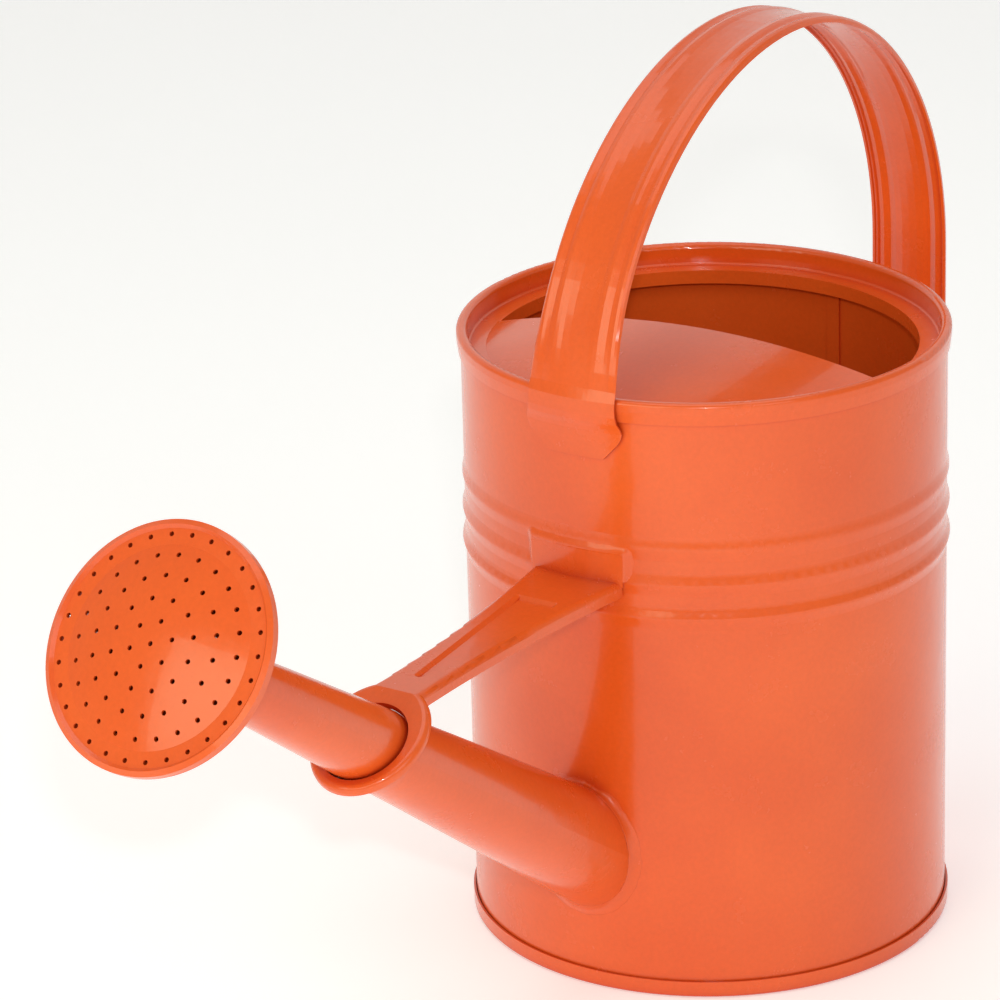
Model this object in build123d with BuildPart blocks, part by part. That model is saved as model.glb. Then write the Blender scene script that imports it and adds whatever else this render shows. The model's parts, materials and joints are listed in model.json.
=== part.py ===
from build123d import *
import os
from math import asin, atan, cos, degrees, radians, sin, sqrt

# A 5-litre sheet-metal watering can. Millimetres, +Z up. The origin is on the can's axis, in the
# plane that its bottom seam stands on. The spout points along -X; the handle, the brace and the
# rose lie in the X-Z plane.

os.makedirs("parts", exist_ok=True)

# ---------------------------------------------------------------- driving dimensions
sheet = 0.8                      # painted sheet of the body, the spout and the rose
strap_sheet = 1.0                # heavier sheet of the handle and the brace
gap = 0.1                        # clearance between nested seams

wall_radius = 85.0               # outside of the body wall
wall_inner = wall_radius - sheet
wall_bottom = 1.2
wall_top = 217.2
bead_half_height = 4.2
bead_clear_radius = 86.0         # just outside the tallest bead that another piece crosses
beads = [(142.5, 1.1), (154.6, 0.9), (167.4, 0.7)]      # height of each bead, how far it stands out
seam_angle = -3                  # lock seam down the inside of the wall, behind the handle
seam_width = 5.0

rim_radius = 86.4                # outside of the rolled top rim
rim_top = 220.3
ledge_z = 212.6                  # upper side of the sunk ledge inside the rim
ledge_inner = 76.0
cover_rise = 9.6                 # how far the domed half cover rises above the ledge
cover_edge = 12.7                # distance of the cover's straight edge from the can's axis
cover_turn = 4.3                 # the cover sits turned a little from the spout's plane
lip_depth = 5.0

base_radius = 86.1               # outside of the bottom seam
base_seam_height = 5.9
base_panel_z = 5.0

spout_angle = 34.75              # rise of the spout's axis above the floor
spout_root_z = 52.7              # height of the axis where it meets the wall
spout_root_radius = 19.2
spout_taper = 0.0374             # loss of radius for each mm along the axis
spout_length = 258.0             # from the wall's outside, along the axis

rose_distance = 281.5            # from the wall to the plane of the rose's rim, along the axis
rose_radius = 40.0
rose_dome_radius = 32.0
rose_dome_rise = 4.8
rose_hole_radius = 0.8
# radius, number and first angle of each ring of holes
rose_rings = [(7.4, 6, 51), (14.5, 12, 20), (21.8, 18, 9.5), (28.7, 24, 5), (35.4, 30, 1)]
neck_length = 20.0               # push-on sleeve of the rose over the spout's end
cone_depth = 22.0                # from the rim's plane back to the neck
push_fit = 0.06

# ---------------------------------------------------------------- frames along the spout
spout_axis = Vector(-cos(radians(spout_angle)), 0, sin(radians(spout_angle)))
spout_root = Vector(-wall_radius, 0, spout_root_z)


def spout_plane(distance):
    """Plane square to the spout's axis; local x is -Y of the can."""
    return Plane(origin=spout_root + spout_axis * distance, x_dir=(0, -1, 0), z_dir=spout_axis)


def spout_radius(distance):
    """Outside radius of the spout at a distance from the wall."""
    return spout_root_radius - spout_taper * distance


# ---------------------------------------------------------------- body wall
def wall_line(radius):
    """One side of the wall's section, with its three swaged beads."""
    Line((radius, wall_bottom), (radius, beads[0][0] - bead_half_height))
    for number, (height, rise) in enumerate(beads):
        low = height - bead_half_height
        high = height + bead_half_height
        Spline(
            (radius, low),
            (radius + rise, height),
            (radius, high),
            tangents=((0, 1), (0, 1)),
        )
        following = beads[number + 1][0] - bead_half_height if number + 1 < len(beads) else wall_top
        Line((radius, high), (radius, following))


with BuildPart() as body_wall:
    with BuildSketch(Plane.XZ):
        with BuildLine():
            wall_line(wall_radius)
            wall_line(wall_inner)
            Line((wall_inner, wall_bottom), (wall_radius, wall_bottom))
            Line((wall_inner, wall_top), (wall_radius, wall_top))
        make_face()
    revolve(axis=Axis.Z)
    # folded lock seam, a raised strip down the inside
    seam_start = seam_angle - degrees(seam_width / 2 / wall_inner)
    with BuildSketch(Plane.XZ.rotated((0, 0, seam_start))):
        with Locations((wall_inner - sheet / 2, (base_panel_z + ledge_z) / 2)):
            Rectangle(sheet + gap, ledge_z - base_panel_z - 8)
    revolve(axis=Axis.Z, revolution_arc=degrees(seam_width / wall_inner))
    # water outlet behind the spout
    with BuildSketch(spout_plane(-30)):
        Circle(spout_root_radius - 4)
    extrude(amount=60, mode=Mode.SUBTRACT)
body_wall.part.label = "body_wall"

# ---------------------------------------------------------------- bottom plate and its seam
seam_outer_leg = base_radius - sheet / 2
seam_inner_leg = wall_inner - gap - sheet / 2
with BuildPart() as base_plate:
    with BuildSketch(Plane.XZ):
        with BuildLine():
            FilletPolyline(
                (0, base_panel_z),
                (seam_inner_leg, base_panel_z),
                (seam_inner_leg, sheet / 2),
                (seam_outer_leg, sheet / 2),
                (seam_outer_leg, base_seam_height),
                radius=sheet * 0.9,
            )
        trace(line_width=sheet)
    revolve(axis=Axis.Z)
base_plate.part.label = "base_plate"

# ---------------------------------------------------------------- top plate: rim, ledge, half cover
rim_line_radius = rim_radius - sheet / 2
with BuildPart() as top_plate:
    # domed cover, before the filler opening is cut
    with BuildSketch(Plane.XZ):
        with BuildLine():
            dome_radius = (ledge_inner**2 + cover_rise**2) / (2 * cover_rise)
            CenterArc(
                (0, ledge_z - sheet / 2 + cover_rise - dome_radius),
                dome_radius,
                90,
                -degrees(asin(ledge_inner / dome_radius)),
            )
        trace(line_width=sheet)
    revolve(axis=Axis.Z)
    # filler opening: all of the disc behind the cover's straight edge
    with BuildSketch(Plane.XY.rotated((0, 0, cover_turn))):
        Circle(ledge_inner + sheet)
        with Locations((-cover_edge - ledge_inner, 0)):
            Rectangle(2 * ledge_inner, 4 * ledge_inner, mode=Mode.SUBTRACT)
    extrude(amount=2 * rim_top, mode=Mode.SUBTRACT)
    # rolled rim, the wall of the recess and the ledge
    with BuildSketch(Plane.XZ):
        with BuildLine():
            FilletPolyline(
                (wall_radius + gap + sheet / 2, ledge_z),
                (rim_line_radius, rim_top - 3.6),
                (rim_line_radius, rim_top - sheet / 2),
                (wall_inner - gap - 1.5 * sheet, rim_top - sheet / 2),
                (wall_inner - gap - 1.5 * sheet, ledge_z - sheet / 2),
                (ledge_inner - sheet / 2, ledge_z - sheet / 2),
                radius=1.3,
            )
        trace(line_width=sheet)
    revolve(axis=Axis.Z)
    # lip turned down along the round edge of the opening
    lip_half_angle = 90 + degrees(asin(cover_edge / ledge_inner))
    with BuildSketch(Plane.XZ.rotated((0, 0, cover_turn - lip_half_angle))):
        with Locations((ledge_inner - sheet / 2, ledge_z - lip_depth / 2)):
            Rectangle(sheet, lip_depth)
    revolve(axis=Axis.Z, revolution_arc=2 * lip_half_angle)
top_plate.part.label = "top_plate"

# ---------------------------------------------------------------- handle strap
strap_top = Vector(36.3, 0, 319.4)          # crown of the handle, on its outer face
crown_front_radius = 130.0                  # from the crown towards the front
front_radius = 112.0                        # from there down to the rim
back_radius = 114.0                         # from the crown round the back
low_radius = 90.0                           # from the back in towards the wall
crown_front_turn = 45.8
back_straight = 20.0
low_turn = 60.0
tab_low_z = 57.0

# Half of the strap's outer face in section, from the middle out, as pressed and as hammered flat.
pressed_outer = [(0, -1.0), (3.0, -0.95), (5.6, -0.7), (7.2, -0.2), (8.4, 0), (9.6, -0.3), (11.0, -0.9),
                 (12.2, -0.7), (13.4, -0.3), (14.4, -0.6), (15.1, -1.3), (15.4, -2.6)]
flat_outer = [(0, 0), (2.8, 0), (5.3, 0), (7.2, 0), (8.8, 0), (10.3, 0), (11.8, 0), (13.1, 0), (14.3, 0),
              (15.5, 0), (16.5, 0), (17.1, -0.05)]


def half_outline(flatness, wrap_radius, widening):
    """Mix the pressed and the flat half outline, then bend it round the can's wall."""
    points = []
    for (y1, h1), (y2, h2) in zip(pressed_outer, flat_outer):
        y = (y1 + (y2 - y1) * flatness) * widening
        h = h1 + (h2 - h1) * flatness
        bend = wrap_radius - sqrt(wrap_radius**2 - y**2)
        points.append(Vector(y, h - bend * flatness))
    return points


def inner_outline(outer):
    """The same half outline on the strap's inner face, one sheet below the outer one."""
    points = []
    for number, point in enumerate(outer):
        before = outer[number - 1] if number > 0 else Vector(-outer[1].X, outer[1].Y)
        after = outer[number + 1] if number + 1 < len(outer) else point
        run = (after - before).normalized()
        points.append(point + Vector(run.Y, -run.X) * strap_sheet)
    return points


def strap_section(plane, flatness=0.0, wrap_radius=wall_radius, widening=1.0):
    """Closed section of the strap on a plane whose local x is the can's Y."""
    outer = half_outline(flatness, wrap_radius, widening)
    right = outer + inner_outline(outer)[::-1]
    left = [Vector(-point.X, point.Y) for point in right[::-1][1:-1]]
    with BuildSketch(plane) as section:
        with BuildLine():
            Polyline(*right, *left, close=True)
        make_face()
    return section.sketch


def strap_plane(point, heading):
    """Plane across the strap where it runs at this heading (degrees above +X)."""
    tangent = (cos(radians(heading)), 0, sin(radians(heading)))
    return Plane(origin=point, x_dir=(0, 1, 0), z_dir=tangent)


def outward(heading):
    """Direction of the strap's outer face at a heading."""
    return Vector(-sin(radians(heading)), 0, cos(radians(heading)))


# arcs of the strap's outer face, from the crown both ways
crown_front_centre = strap_top - outward(0) * crown_front_radius
front_start = crown_front_centre + outward(crown_front_turn) * crown_front_radius
front_centre = front_start - outward(crown_front_turn) * front_radius
back_centre = strap_top - outward(0) * back_radius
back_end = back_centre + outward(-90) * back_radius
straight_end = back_end - Vector(0, 0, back_straight)
low_centre = straight_end - outward(-90) * low_radius
low_end = low_centre + outward(-90 - low_turn) * low_radius
tab_face = wall_radius + 0.2 + strap_sheet
ogee_radius = (low_end.X - tab_face) / (1 - cos(radians(low_turn)))
ogee_centre = low_end + outward(-90 - low_turn) * ogee_radius
pressed_front_turn = 12.0                   # the pressed section ends this far down the front arc
# heading and flatness down the front arc
front_leg = [(crown_front_turn + pressed_front_turn, 0.0), (61, 0.04), (64, 0.13), (67, 0.27), (70, 0.44),
             (73, 0.62), (76, 0.78), (79, 0.9)]
# outer radius, height and widening of the flat strap over the rim; two small ears below the rim
front_tab = [(87.9, 219.5, 1), (88.1, 217, 1), (88.2, 214.5, 1.01), (87.8, 212, 1.03), (87.1, 210, 1.08),
             (86.7, 208.3, 1.1), (86.5, 206.5, 1.07), (86.3, 204.5, 1.01), (86.2, 202, 1), (86.2, 198.6, 1)]

with BuildPart() as handle_strap:
    # grip: arcs of the pressed section
    add(strap_section(strap_plane(strap_top, 0)))
    revolve(axis=Axis(crown_front_centre, (0, 1, 0)), revolution_arc=-crown_front_turn)
    add(strap_section(strap_plane(front_start, crown_front_turn)))
    revolve(axis=Axis(front_centre, (0, 1, 0)), revolution_arc=-pressed_front_turn)
    add(strap_section(strap_plane(strap_top, 0)))
    revolve(axis=Axis(back_centre, (0, 1, 0)), revolution_arc=90)
    add(strap_section(strap_plane(back_end, -90)))
    extrude(amount=back_straight, dir=(0, 0, -1))
    add(strap_section(strap_plane(straight_end, -90)))
    revolve(axis=Axis(low_centre, (0, 1, 0)), revolution_arc=low_turn)
    # front leg: the section is flattened and laid over the rim and down the wall
    for heading, flatness in front_leg:
        point = front_centre + outward(heading) * front_radius
        add(strap_section(strap_plane(point, heading), flatness))
    for radius, height, widening in front_tab:
        add(strap_section(strap_plane(Vector(-radius, 0, height), 90), 1.0, radius, widening))
    loft(ruled=True)
    # back leg: an ogee brings it onto the wall
    for heading in range(-150, -90, 5):
        share = (heading + 150) / 60
        point = ogee_centre - outward(heading) * ogee_radius
        add(strap_section(strap_plane(point, heading), share * share * (3 - 2 * share)))
    for height in (ogee_centre.Z, tab_low_z):
        add(strap_section(strap_plane(Vector(tab_face, 0, height), -90), 1.0, tab_face))
    loft(ruled=True)
    # clipped lower corners of both tabs
    for x, low in [(-wall_radius, 198.6), (wall_radius, tab_low_z)]:
        with BuildSketch(Plane.YZ.offset(x)):
            for side in (-1, 1):
                with BuildLine():
                    Polyline(
                        (side * 11, low - 1),
                        (side * 19, low - 1),
                        (side * 19, low + 8),
                        (side * 11, low - 1),
                    )
                make_face()
        extrude(amount=8, both=True, mode=Mode.SUBTRACT)
handle_strap.part.label = "handle_strap"

# ---------------------------------------------------------------- spout
root_overlap = 40.0
with BuildPart() as spout_tube:
    for inset, mode in ((0, Mode.ADD), (sheet, Mode.SUBTRACT)):
        with BuildSketch(spout_plane(-root_overlap)):
            Circle(spout_radius(-root_overlap) - inset)
        with BuildSketch(spout_plane(spout_length)):
            Circle(spout_radius(spout_length) - inset)
        loft(mode=mode)
    # the root is cut to the round of the wall
    Cylinder(wall_radius + gap, 2 * rim_top, mode=Mode.SUBTRACT)
spout_tube.part.label = "spout_tube"

solder_width = 2.4
with BuildPart() as spout_solder:
    with BuildSketch(spout_plane(-root_overlap)):
        Circle(spout_radius(-root_overlap) + solder_width)
    with BuildSketch(spout_plane(root_overlap)):
        Circle(spout_radius(root_overlap) + solder_width)
    loft()
    with BuildSketch(spout_plane(-2 * root_overlap)):
        Circle(spout_radius(-2 * root_overlap) + gap / 2)
    with BuildSketch(spout_plane(2 * root_overlap)):
        Circle(spout_radius(2 * root_overlap) + gap / 2)
    loft(mode=Mode.SUBTRACT)
    Cylinder(wall_radius + 1.5, 2 * rim_top, mode=Mode.INTERSECT)
    Cylinder(wall_radius + gap / 2, 2 * rim_top, mode=Mode.SUBTRACT)
spout_solder.part.label = "spout_solder"

# ---------------------------------------------------------------- brace between wall and spout
brace_wall_z = 154.5             # upper face of the arm at the wall
brace_bend_x = -194.0            # the arm bends down to the ring here
brace_bend_z = 153.0
ring_slope = 30.0                # of the ring's plane, falling towards the rose
ring_half_width = 19.6
ring_half_length = 22.6
ring_centre_drop = 19.0          # from the bend to the ring's centre, down the slope
ring_hole_half_width = 14.6
ring_hole_half_length = 16.0
ring_hole_shift = 2.8            # of the hole's centre down the slope, towards the tube's axis
flange_depth = 5.2
ring_flange_depth = 3.2
panel_depth = 1.2                # of the pressed panel in the arm
panel_slope = 50.0               # of its sides, from upright
brace_tab_sheet = 0.5
edge_rounding = 2.2
collar_depth = 9.0               # from the ring down to where its collar meets the tube
arm_length = -wall_radius - brace_bend_x
arm_slope = degrees(atan((brace_wall_z - brace_bend_z) / arm_length))

bend_point = Vector(brace_bend_x, 0, brace_bend_z)
arm_plane = Plane(origin=bend_point, x_dir=(cos(radians(arm_slope)), 0, sin(radians(arm_slope))),
                  z_dir=(-sin(radians(arm_slope)), 0, cos(radians(arm_slope))))
ring_down = Vector(-cos(radians(ring_slope)), 0, -sin(radians(ring_slope)))
ring_normal = Vector(-sin(radians(ring_slope)), 0, cos(radians(ring_slope)))
ring_plane = Plane(origin=bend_point + ring_down * ring_centre_drop, x_dir=-ring_down, z_dir=ring_normal)

# distance along the spout at which the collar meets the tube
axis_at_ring = (bend_point - spout_root).dot(ring_normal) / spout_axis.dot(ring_normal)
collar_distance = axis_at_ring - collar_depth


def arm_outline(inset):
    """Outline of the arm, waisted near the ring and flared at the wall; local x from the bend."""
    tip = arm_length + 6
    for side in (-1, 1):
        ThreePointArc(
            (0, side * (9.6 - inset)),
            (arm_length * 0.55, side * (11.8 - inset)),
            (tip, side * (18.6 - inset)),
        )
    Line((0, inset - 9.6), (0, 9.6 - inset))
    Line((tip, inset - 18.6), (tip, 18.6 - inset))


def arm_block(inset):
    """The arm as a solid block, smaller all round by the inset."""
    with BuildPart() as block:
        with BuildSketch(arm_plane.offset(-inset)):
            with BuildLine():
                arm_outline(inset)
            make_face()
        extrude(amount=-flange_depth)
        upper = block.faces().sort_by(Axis.Z)[-1].edges()
        fillet(upper.sort_by(SortBy.LENGTH)[-2:], edge_rounding - inset)
    return block.part


def ring_block(inset):
    """The ring as a solid block below the arm's upper face, smaller all round by the inset."""
    with BuildPart() as block:
        with BuildSketch(ring_plane.offset(-inset)):
            Ellipse(ring_half_length - inset, ring_half_width - inset)
        extrude(amount=-ring_flange_depth)
        fillet(block.edges().sort_by(Axis(ring_plane.origin, ring_normal))[-1], edge_rounding - inset)
        split(bisect_by=arm_plane.offset(-inset), keep=Keep.BOTTOM)
    return block.part


with BuildPart() as spout_brace:
    # arm and ring with turned-down edges
    add(arm_block(0))
    add(ring_block(0))
    add(arm_block(strap_sheet), mode=Mode.SUBTRACT)
    add(ring_block(strap_sheet), mode=Mode.SUBTRACT)
    # pressed panel: sunk on top, standing out below, with sloping sides
    for shrink, height, mode in (
        (0.0, -panel_depth - strap_sheet, Mode.ADD),
        (strap_sheet, -panel_depth, Mode.SUBTRACT),
    ):
        with BuildSketch(arm_plane):
            with BuildLine():
                Polyline(
                    (10 + 2 * shrink, shrink - 2.6),
                    (86 - shrink, shrink - 9.4),
                    (86 - shrink, 9.4 - shrink),
                    (10 + 2 * shrink, 2.6 - shrink),
                    close=True,
                )
            make_face()
            fillet(vertices(), 1.4)
        extrude(amount=height, taper=panel_slope, mode=mode)
    # collar drawn down from the ring onto the tube, and the hole through both
    for thickness, rise, mode in ((strap_sheet, 0, Mode.ADD), (0, 0.6, Mode.SUBTRACT)):
        with BuildSketch(ring_plane.offset(rise)):
            with Locations((-ring_hole_shift, 0)):
                Ellipse(ring_hole_half_length + thickness, ring_hole_half_width + thickness)
        with BuildSketch(spout_plane(collar_distance)):
            Circle(spout_radius(collar_distance) + push_fit + thickness)
        loft(mode=mode)
    # the wall side is cut to the round of the can
    Cylinder(bead_clear_radius, 2 * rim_top, mode=Mode.SUBTRACT)
    # tab turned up against the wall
    tab_turn = degrees(18.2 / bead_clear_radius)
    with BuildSketch(Plane.XZ.rotated((0, 0, 180 - tab_turn))):
        with Locations((bead_clear_radius + brace_tab_sheet / 2, brace_wall_z + 4.5)):
            Rectangle(brace_tab_sheet, 12)
    revolve(axis=Axis.Z, revolution_arc=2 * tab_turn)
spout_brace.part.label = "spout_brace"

# ---------------------------------------------------------------- rose
rose_plane = spout_plane(rose_distance)


def rose_section():
    """Plane through the rose's axis: local x outwards from the axis, local y along it."""
    return Plane(origin=rose_plane.origin, x_dir=(0, -1, 0), z_dir=Vector(0, -1, 0).cross(spout_axis))


rose_axis = Axis(rose_plane.origin, spout_axis)
rim_hem = 1.0
face_sphere = (rose_dome_radius**2 + rose_dome_rise**2) / (2 * rose_dome_rise)
dome_start = degrees(asin(rose_hole_radius / face_sphere))
with BuildPart() as rose_face:
    with BuildSketch(rose_section()):
        with BuildLine():
            # the dome runs from its middle hole to the channel
            CenterArc(
                (0, rose_dome_rise - face_sphere),
                face_sphere,
                90 - dome_start,
                dome_start - degrees(asin(rose_dome_radius / face_sphere)),
            )
            Line((rose_dome_radius, 0), (rose_radius - 2.6, 0))
            Line((rose_radius - 2.6, 0), (rose_radius - 1.6, rim_hem))
            Line((rose_radius - 1.6, rim_hem), (rose_radius - sheet / 2, rim_hem * 0.4))
            Line((rose_radius - sheet / 2, rim_hem * 0.4), (rose_radius - sheet / 2, -2.2))
        trace(line_width=sheet)
    revolve(axis=rose_axis)
    with BuildSketch(rose_plane.offset(-8)):
        for radius, count, start in rose_rings:
            with PolarLocations(radius, count, start_angle=start - 90):
                Circle(rose_hole_radius)
    extrude(amount=20, mode=Mode.SUBTRACT)
rose_face.part.label = "rose_face"

neck_top = rose_distance - cone_depth
neck_inner = spout_radius(neck_top) + push_fit
with BuildPart() as rose_back:
    with BuildSketch(rose_section()):
        with BuildLine():
            FilletPolyline(
                (rose_radius - 1.5 * sheet - gap, -sheet - gap),
                (rose_radius - 1.5 * sheet - gap - 1.0, -2.8),
                (rose_radius - 9, -7),
                (neck_inner + 1.3 * sheet + gap, sheet / 2 - cone_depth),
                radius=2.0,
            )
        trace(line_width=sheet)
    revolve(axis=rose_axis)
rose_back.part.label = "rose_back"

with BuildPart() as rose_neck:
    for inset, mode in ((sheet, Mode.ADD), (0, Mode.SUBTRACT)):
        with BuildSketch(spout_plane(neck_top - neck_length)):
            Circle(spout_radius(neck_top - neck_length) + push_fit + inset)
        with BuildSketch(spout_plane(neck_top + 1)):
            Circle(spout_radius(neck_top + 1) + push_fit + inset)
        loft(mode=mode)
rose_neck.part.label = "rose_neck"

pieces = [
    body_wall,
    base_plate,
    top_plate,
    handle_strap,
    spout_tube,
    spout_solder,
    spout_brace,
    rose_face,
    rose_back,
    rose_neck,
]
for piece in pieces:
    export_step(piece.part, f"parts/{piece.part.label}.step")
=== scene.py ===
import json
import math

import bmesh
import bpy
from mathutils import Matrix, Vector, noise
from mathutils.bvhtree import BVHTree


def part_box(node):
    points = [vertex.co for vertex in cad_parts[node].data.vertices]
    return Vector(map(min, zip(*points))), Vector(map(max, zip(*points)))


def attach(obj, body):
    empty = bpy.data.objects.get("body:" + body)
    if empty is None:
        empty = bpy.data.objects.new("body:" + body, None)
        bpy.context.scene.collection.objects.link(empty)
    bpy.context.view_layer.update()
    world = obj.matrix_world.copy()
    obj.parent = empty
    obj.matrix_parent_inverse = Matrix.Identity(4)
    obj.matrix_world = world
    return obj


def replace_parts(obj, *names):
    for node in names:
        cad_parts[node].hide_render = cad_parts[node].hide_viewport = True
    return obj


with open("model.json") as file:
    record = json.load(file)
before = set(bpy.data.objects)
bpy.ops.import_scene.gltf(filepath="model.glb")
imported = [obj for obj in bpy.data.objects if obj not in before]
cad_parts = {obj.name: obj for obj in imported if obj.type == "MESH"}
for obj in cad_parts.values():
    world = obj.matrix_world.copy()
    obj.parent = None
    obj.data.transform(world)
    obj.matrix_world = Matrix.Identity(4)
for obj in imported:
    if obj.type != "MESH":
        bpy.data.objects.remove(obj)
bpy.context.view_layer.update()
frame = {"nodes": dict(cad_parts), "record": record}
nodes = frame["nodes"]
scene = bpy.context.scene


# ---------------------------------------------------------------- materials
thick_coat = (0.78, 0.096, 0.010, 1)
thin_coat = (0.86, 0.122, 0.015, 1)
# painted shade: the dark orange laid into creases and corners
crease_shade_colour = (0.60, 0.046, 0.007, 1)
gloss_roughness = 0.21


def paint(name, wear=1.0):
    """Glossy orange enamel over pressed steel: faint mottling, orange-peel skin, painted shade darkening
    the creases.
    """
    material = bpy.data.materials.new(name)
    material.use_nodes = True
    tree = material.node_tree
    link = tree.links.new
    shader = tree.nodes["Principled BSDF"]
    coords = tree.nodes.new("ShaderNodeTexCoord")

    def noise_node(scale, detail, roughness=0.5):
        node = tree.nodes.new("ShaderNodeTexNoise")
        node.inputs["Scale"].default_value = scale
        node.inputs["Detail"].default_value = detail
        node.inputs["Roughness"].default_value = roughness
        link(coords.outputs["Object"], node.inputs["Vector"])
        return node

    def ramp(source, low, high, dark, light):
        node = tree.nodes.new("ShaderNodeMapRange")
        node.inputs["From Min"].default_value = low
        node.inputs["From Max"].default_value = high
        node.inputs["To Min"].default_value = dark
        node.inputs["To Max"].default_value = light
        link(source, node.inputs["Value"])
        return node.outputs["Result"]

    # colour: broad thick and thin coats, and a fine mottle
    broad = noise_node(16, 3)
    fine = noise_node(620, 4, 0.6)
    coats = tree.nodes.new("ShaderNodeMix")
    coats.data_type = "RGBA"
    coats.inputs["A"].default_value = thick_coat
    coats.inputs["B"].default_value = thin_coat
    link(ramp(broad.outputs["Fac"], 0.3, 0.7, 0, 1), coats.inputs["Factor"])
    mottle = tree.nodes.new("ShaderNodeMix")
    mottle.data_type = "RGBA"
    mottle.blend_type = "MULTIPLY"
    mottle.inputs["Factor"].default_value = 0.35
    link(coats.outputs["Result"], mottle.inputs["A"])
    grey = tree.nodes.new("ShaderNodeCombineColor")
    for channel in ("Red", "Green", "Blue"):
        link(ramp(fine.outputs["Fac"], 0.3, 0.7, 0.86, 1.06), grey.inputs[channel])
    link(grey.outputs["Color"], mottle.inputs["B"])

    # painted shade: ambient occlusion darkens the paint towards a deep orange in creases and corners
    # painted shade, found by ambient occlusion within 6 mm
    occlusion_shade = tree.nodes.new("ShaderNodeAmbientOcclusion")
    occlusion_shade.samples = 6
    occlusion_shade.inputs["Distance"].default_value = 0.006
    shaded_creases = tree.nodes.new("ShaderNodeMix")
    shaded_creases.data_type = "RGBA"
    shaded_creases.inputs["A"].default_value = crease_shade_colour
    link(ramp(occlusion_shade.outputs["AO"], 0.35, 0.85, 0, 1), shaded_creases.inputs["Factor"])
    link(mottle.outputs["Result"], shaded_creases.inputs["B"])
    link(shaded_creases.outputs["Result"], shader.inputs["Base Color"])

    # gloss varies a little where it has been handled
    smears = noise_node(42, 5, 0.65)
    worn_roughness = gloss_roughness + 0.10 * wear
    roughness_map = ramp(smears.outputs["Fac"], 0.35, 0.75, gloss_roughness, worn_roughness)
    link(roughness_map, shader.inputs["Roughness"])
    shader.inputs["Metallic"].default_value = 0.0
    shader.inputs["IOR"].default_value = 1.45
    shader.inputs["Coat Weight"].default_value = 0.35
    shader.inputs["Coat Roughness"].default_value = 0.05
    shader.inputs["Coat IOR"].default_value = 1.5

    # orange peel: a soft swell and a fine grain
    swell = noise_node(190, 2, 0.45)
    grain = noise_node(1500, 2, 0.5)
    ripple = tree.nodes.new("ShaderNodeMath")
    ripple.operation = "MULTIPLY_ADD"
    link(grain.outputs["Fac"], ripple.inputs[0])
    ripple.inputs[1].default_value = 0.12
    link(swell.outputs["Fac"], ripple.inputs[2])
    bump = tree.nodes.new("ShaderNodeBump")
    bump.inputs["Strength"].default_value = 0.32
    bump.inputs["Distance"].default_value = 0.00035
    link(ripple.outputs["Value"], bump.inputs["Height"])
    link(bump.outputs["Normal"], shader.inputs["Normal"])
    return material


orange = paint("orange_paint")
orange_rose = paint("orange_rose_paint", wear=0.6)
for name, node in nodes.items():
    material = orange_rose if name.startswith("rose") else orange
    node.data.materials.clear()
    node.data.materials.append(material)


# ---------------------------------------------------------------- solder and paint in the corners
solder_height = 0.0015           # of the CAD's solder ring above the wall
tube_flare = 0.0001              # the tube's sides meet the wall further back, this much wider
spout_taper = 0.0374             # loss of radius for each metre along the axis
sunk = 0.00002                   # a bead's edges dip this far into what they lie on
buried = 0.0004                  # a bead's hidden side lies this deep

spout_axis = Vector(frame["record"]["behaviour"]["joints"][0]["axis"]).normalized()
spout_side = Vector((0, -1, 0))
spout_below = spout_side.cross(spout_axis).normalized()
wall_radius = -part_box("spout_solder")[0].x - solder_height
rose_centre = (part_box("rose_face")[0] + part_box("rose_face")[1]) / 2
spout_root = rose_centre - spout_axis * ((rose_centre.x + wall_radius) / spout_axis.x)
root_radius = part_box("spout_tube")[1].y - tube_flare


def around_spout(turn):
    """Direction away from the spout's axis."""
    return spout_side * math.cos(turn) + spout_below * math.sin(turn)


def on_spout(turn, along, lift):
    """Point above the spout's skin, at a distance along the axis from the wall."""
    spread = root_radius - spout_taper * along + lift
    return spout_root + spout_axis * along + around_spout(turn) * spread


def curve(start, pull_start, pull_end, end):
    """Points of a soft curve between two edges, drawn towards two points on the way."""
    points = []
    for step in range(13):
        part = step / 12
        rest = 1 - part
        points.append(start * rest ** 3 + pull_start * 3 * part * rest ** 2
                      + pull_end * 3 * part ** 2 * rest + end * part ** 3)
    return points


def swept(name, sections, closed):
    """A bead of paint or solder made of cross-sections in a row; it belongs to the can."""
    mesh = bpy.data.meshes.new(name)
    shape = bmesh.new()
    rows = [[shape.verts.new(point) for point in section] for section in sections]
    following_rows = rows[1:] + rows[:1] if closed else rows[1:]
    for first, second in zip(rows, following_rows):
        for number in range(len(first)):
            after = (number + 1) % len(first)
            shape.faces.new((first[number], first[after], second[after], second[number]))
    if not closed:
        shape.faces.new(rows[0])
        shape.faces.new(rows[-1])
    bmesh.ops.recalc_face_normals(shape, faces=shape.faces)
    shape.to_mesh(mesh)
    shape.free()
    for polygon in mesh.polygons:
        polygon.use_smooth = len(polygon.vertices) == 4
    bead = bpy.data.objects.new(name, mesh)
    scene.collection.objects.link(bead)
    mesh.materials.append(orange)
    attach(bead, "can")
    return bead


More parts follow.
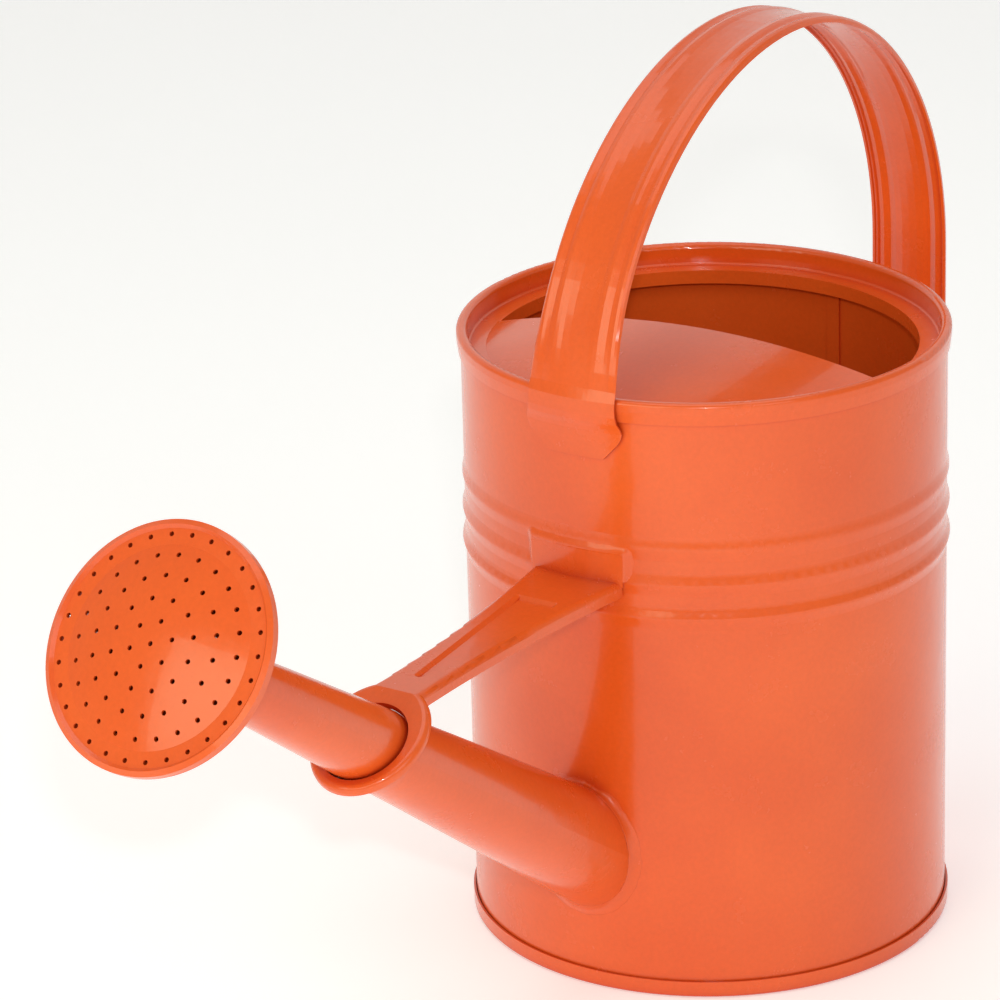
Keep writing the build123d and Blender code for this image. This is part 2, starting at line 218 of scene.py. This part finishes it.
def root_fillet():
    """Uneven fillet that fills the corner between the spout and the wall."""
    def meeting(turn):
        """How far along the axis this line of the spout leaves the wall."""
        low, high = -0.05, 0.05
        for _ in range(40):
            middle = (low + high) / 2
            if on_spout(turn, middle, 0).xy.length < wall_radius:
                low = middle
            else:
                high = middle
        return low

    def on_wall(point, depth):
        outwards = point.xy.normalized() * (wall_radius + depth)
        return Vector((outwards.x, outwards.y, point.z))

    steps = 144
    sections = []
    for step in range(steps):
        turn = 2 * math.pi * step / steps
        out = around_spout(turn)
        wave = noise.noise(Vector((math.cos(turn), math.sin(turn), 0)) * 2.2)
        lumps = noise.noise(Vector((math.cos(turn), math.sin(turn), 3)) * 9.0)
        start = meeting(turn)
        corner = on_spout(turn, start, 0)
        tube_reach = 0.0034 + 0.0012 * wave + 0.0004 * lumps
        wall_reach = 0.0030 + 0.0010 * wave + 0.0006 * lumps
        on_tube = on_spout(turn, start + tube_reach, -sunk)
        foot = on_wall(corner + out * wall_reach, -sunk)
        swollen = corner + (out + spout_axis) * (0.0004 + 0.0002 * lumps)
        section = curve(on_tube, on_tube.lerp(swollen, 0.75), foot.lerp(swollen, 0.75), foot)
        section.append(on_wall(foot, -0.0003))
        section.append(on_wall(corner, -buried))
        section.append(on_spout(turn, start + 0.002, -buried))
        sections.append(section)
    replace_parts(swept("root_fillet", sections, True), "spout_solder")


def tab_fillet():
    """Paint run over the edge of the brace's tab, so that the edge fades into the beaded wall."""
    bpy.context.view_layer.update()
    wall = BVHTree.FromObject(nodes["body_wall"], bpy.context.evaluated_depsgraph_get())
    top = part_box("spout_brace")[1].z
    low = top - 0.0103               # just above the arm
    face = 0.0865                    # radius of the tab's outer face
    half_turn = 0.0182 / 0.086       # the tab's half width over its inner radius
    around_corner = [math.radians(angle) for angle in (20, 45, 70)]

    def place(turn, height, spread):
        return Vector((-spread * math.cos(turn), spread * math.sin(turn), height))

    def above_wall(turn, height, lift):
        out = place(turn, 0, 1)
        hit = wall.ray_cast(out * 0.12 + Vector((0, 0, height)), -out)[0]
        return place(turn, height, hit.xy.length + lift)

    # the tab's outline, with the sideways and upward parts of the way out from it
    outline = [(-half_turn, low + (top - low) * step / 12, -1.0, 0.0) for step in range(13)]
    outline += [(-half_turn, top, -math.cos(angle), math.sin(angle)) for angle in around_corner]
    outline += [(half_turn * (step / 20 - 1), top, 0.0, 1.0) for step in range(41)]
    outline += [(half_turn, top, math.cos(angle), math.sin(angle)) for angle in reversed(around_corner)]
    outline += [(half_turn, top - (top - low) * step / 12, 1.0, 0.0) for step in range(13)]

    sections = []
    for turn, height, sideways, upward in outline:
        def at(distance):
            """Turn and height at a distance out from the tab's edge."""
            return turn + sideways * distance / face, height + upward * distance

        lumps = noise.noise(Vector((turn * 22, height * 260, 5)))
        fading = min(1.0, 0.25 + (height - low) / 0.005)
        reach = (0.0034 + 0.0008 * lumps) * fading
        section = curve(
            place(*at(-0.0003), face),
            place(*at(0.45 * reach), face),
            above_wall(*at(0.55 * reach), 0.0001),
            above_wall(*at(reach), -sunk),
        )
        section.append(above_wall(*at(reach), -buried))
        section.append(above_wall(*at(-0.0004), -buried))
        section.append(place(*at(-0.0004), face - 0.0002))
        sections.append(section)
    swept("tab_fillet", sections, False)


root_fillet()
tab_fillet()


# ---------------------------------------------------------------- floor, light and camera
def white_sweep():
    """Pale floor that curves up into a backdrop, all one sheet."""
    reach = 9.0                      # towards the camera, to each side and upwards
    bend_start = 4.0
    bend_radius = 2.0
    below_can = 0.0004
    facing = 33.8                    # degrees, square to the camera

    mesh = bpy.data.meshes.new("floor")
    shape = bmesh.new()
    profile = [(-reach, 0.0), (bend_start, 0.0)]
    for step in range(1, 16):
        bend = math.radians(6 * step)
        profile.append((bend_start + bend_radius * math.sin(bend), bend_radius * (1 - math.cos(bend))))
    profile += [(bend_start + bend_radius, reach)]
    rows = []
    for along, up in profile:
        rows.append([shape.verts.new((along, side, up - below_can)) for side in (-reach, reach)])
    for first, second in zip(rows, rows[1:]):
        shape.faces.new((first[0], second[0], second[1], first[1]))
    shape.to_mesh(mesh)
    shape.free()
    for polygon in mesh.polygons:
        polygon.use_smooth = True
    sweep = bpy.data.objects.new("floor", mesh)
    scene.collection.objects.link(sweep)
    sweep.rotation_euler = (0, 0, math.radians(facing))
    material = bpy.data.materials.new("floor_white")
    material.use_nodes = True
    tree = material.node_tree
    shader = tree.nodes["Principled BSDF"]
    grain = tree.nodes.new("ShaderNodeTexNoise")
    grain.inputs["Scale"].default_value = 30
    shade = tree.nodes.new("ShaderNodeMapRange")
    shade.inputs["To Min"].default_value = 0.93
    shade.inputs["To Max"].default_value = 0.97
    tree.links.new(grain.outputs["Fac"], shade.inputs["Value"])
    tree.links.new(shade.outputs["Result"], shader.inputs["Base Color"])
    shader.inputs["Roughness"].default_value = 0.7
    shader.inputs["Specular IOR Level"].default_value = 0.2
    shader.inputs["Emission Color"].default_value = (1, 1, 1, 1)
    shader.inputs["Emission Strength"].default_value = 0.3
    mesh.materials.append(material)


def area_light(name, place, target, size, power, colour=(1, 1, 1)):
    light = bpy.data.lights.new(name, "AREA")
    light.shape = "RECTANGLE"
    light.size, light.size_y = size
    light.energy = power
    light.color = colour
    holder = bpy.data.objects.new(name, light)
    scene.collection.objects.link(holder)
    holder.location = place
    aim = (Vector(target) - Vector(place)).to_track_quat("-Z", "Y")
    holder.rotation_mode = "QUATERNION"
    holder.rotation_quaternion = aim


white_sweep()

world = bpy.data.worlds.new("studio")
scene.world = world
world.use_nodes = True
background = world.node_tree.nodes["Background"]
background.inputs["Color"].default_value = (1.0, 0.98, 0.93, 1)
background.inputs["Strength"].default_value = 0.34

centre = (0.0, 0.0, 0.13)
area_light("key_softbox", (-0.9, -1.7, 1.3), centre, (0.8, 1.0), 4)
area_light("flash", (-1.43, -0.90, 0.94), centre, (0.06, 0.04), 6)
area_light("left_softbox", (-1.74, 0.12, 0.88), (-0.3, 0.0, 0.2), (1.35, 1.05), 10.0, (0.93, 1.0, 0.74))
area_light("top_softbox", (0.1, 0.1, 1.9), centre, (1.4, 1.4), 8)

# The camera stands 1.83 m from the middle of the can's base, 56 degrees from the spout's side view
# and looking 21 degrees down.
camera = bpy.data.cameras.new("camera")
camera_holder = bpy.data.objects.new("camera", camera)
scene.collection.objects.link(camera_holder)
scene.camera = camera_holder
camera.sensor_width = 36
camera.lens = 179.9
camera.clip_start = 0.05
camera.clip_end = 60
look = Vector((0.77352, 0.51843, -0.36455)).normalized()
camera_holder.rotation_mode = "QUATERNION"
upright = look.to_track_quat("-Z", "Y")
roll = Matrix.Rotation(math.radians(-1.63), 4, "Z").to_quaternion()
camera_holder.rotation_quaternion = upright @ roll
camera_holder.location = (-1.4059, -0.8548, 0.7983)

scene.view_settings.view_transform = "Standard"
scene.view_settings.look = "None"
